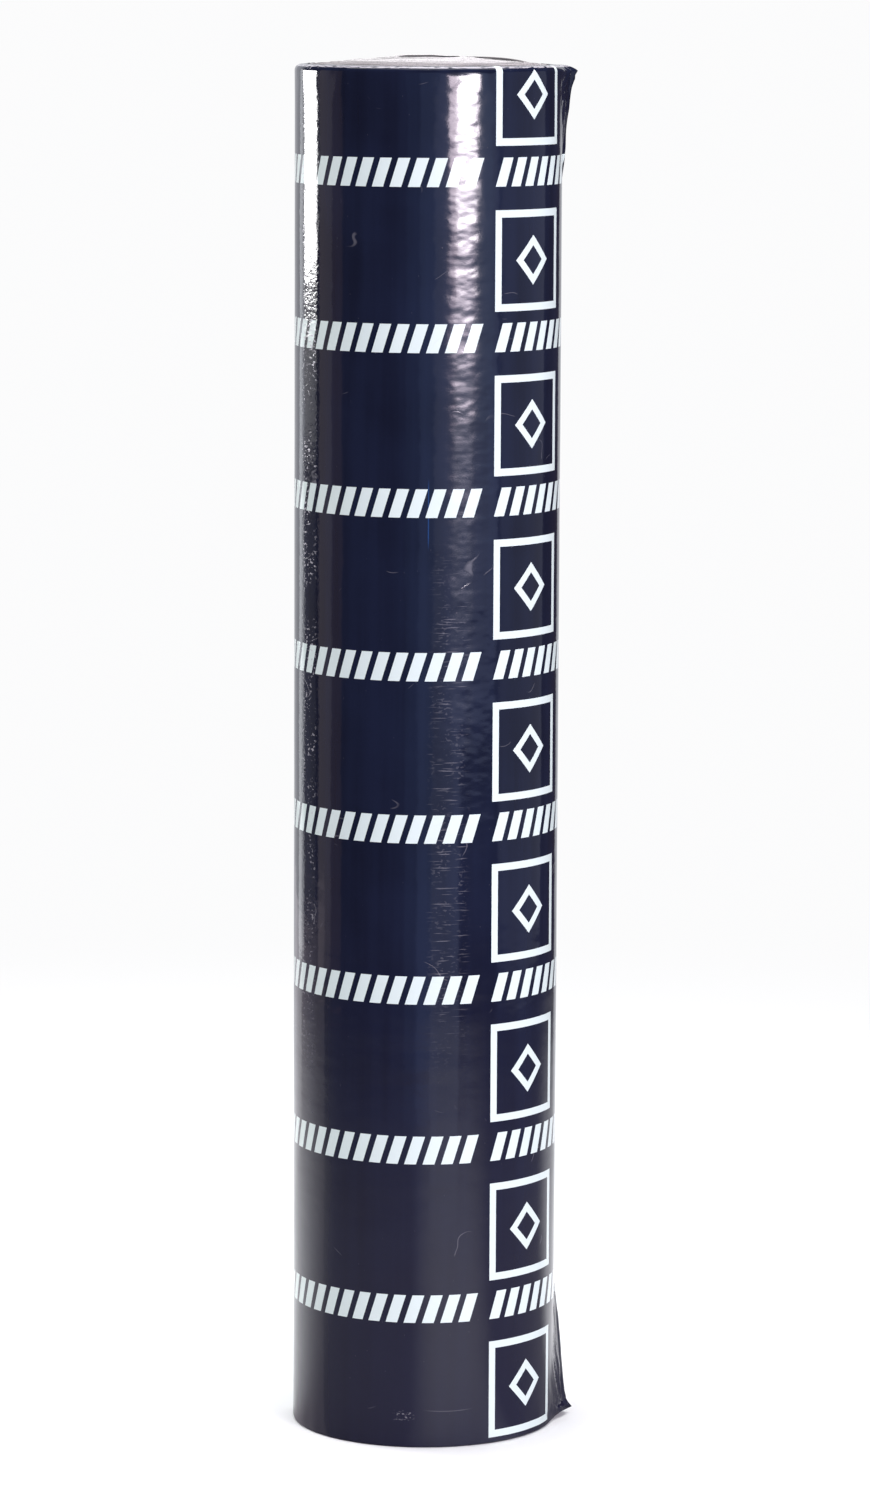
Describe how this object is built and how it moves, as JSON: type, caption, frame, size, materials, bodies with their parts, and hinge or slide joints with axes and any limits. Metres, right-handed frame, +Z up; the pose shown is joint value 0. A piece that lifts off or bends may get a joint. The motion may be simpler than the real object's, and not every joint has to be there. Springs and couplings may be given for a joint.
{
  "type": "roll of roofing felt",
  "caption": "Upright roll of bitumen roofing felt with an open bore, in a tight glossy dark blue plastic wrapper with a side seam; the wound turns show on both ends.",
  "frame": {"origin": "on the floor, on the axis of the roll, at the centre of the bottom end", "axes": "+Z up along the roll's axis and its bore; the wrapper's side seam is at 49 degrees from +X towards +Y"},
  "size_m": [0.1936, 0.1936, 1.0062],
  "materials": {
    "felt": "matte",
    "film": "gloss"
  },
  "bodies": {
    "root": {"felt_roll": "felt", "wrapper_film": "film"}
  },
  "joints": []
}
